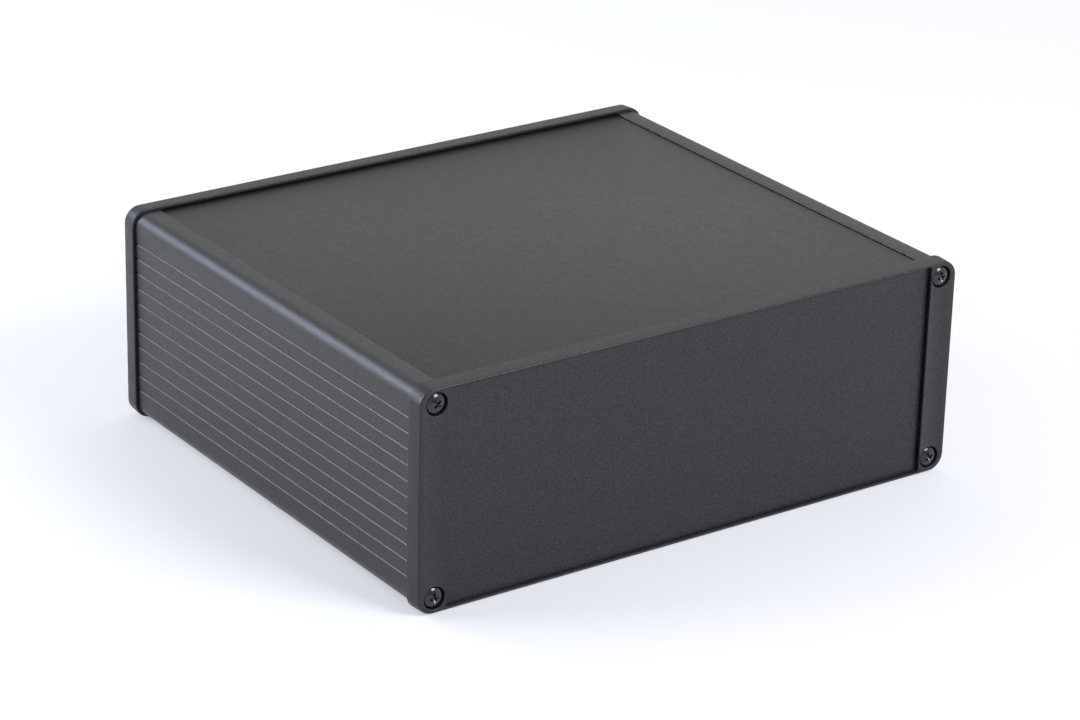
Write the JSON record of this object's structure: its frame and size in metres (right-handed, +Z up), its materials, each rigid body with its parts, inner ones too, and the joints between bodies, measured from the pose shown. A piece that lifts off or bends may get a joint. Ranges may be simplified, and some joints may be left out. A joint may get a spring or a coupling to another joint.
{
  "type": "extruded aluminium enclosure",
  "caption": "Low rectangular instrument case: grooved extruded sides, slide-in cover sheets, and screwed end bezels holding flat recessed panels.",
  "frame": {"origin": "centre of the case's footprint, on the surface that the two bezels stand on", "axes": "+X to the right across the width, +Y from the front panel to the rear panel, +Z up; the front panel faces -Y"},
  "size_m": [0.197, 0.1712, 0.071],
  "materials": {
    "side_extrusion": "dark grey fine-texture powder coat on extruded aluminium",
    "cover_sheet": "dark grey fine-texture powder coat on aluminium sheet",
    "bezel_casting": "dark grey fine-texture powder coat on cast aluminium",
    "panel_plate": "dark grey fine-texture powder coat on flat aluminium plate",
    "screw_steel": "blackened steel, glossy"
  },
  "bodies": {
    "root": {"left_side_profile": "side_extrusion", "right_side_profile": "side_extrusion", "top_cover": "cover_sheet", "bottom_cover": "cover_sheet", "front_bezel": "bezel_casting", "rear_bezel": "bezel_casting", "front_panel": "panel_plate", "rear_panel": "panel_plate", "front_screw_top_left": "screw_steel", "front_screw_top_right": "screw_steel", "front_screw_bottom_left": "screw_steel", "front_screw_bottom_right": "screw_steel", "rear_screw_top_left": "screw_steel", "rear_screw_top_right": "screw_steel", "rear_screw_bottom_left": "screw_steel", "rear_screw_bottom_right": "screw_steel"}
  },
  "joints": []
}
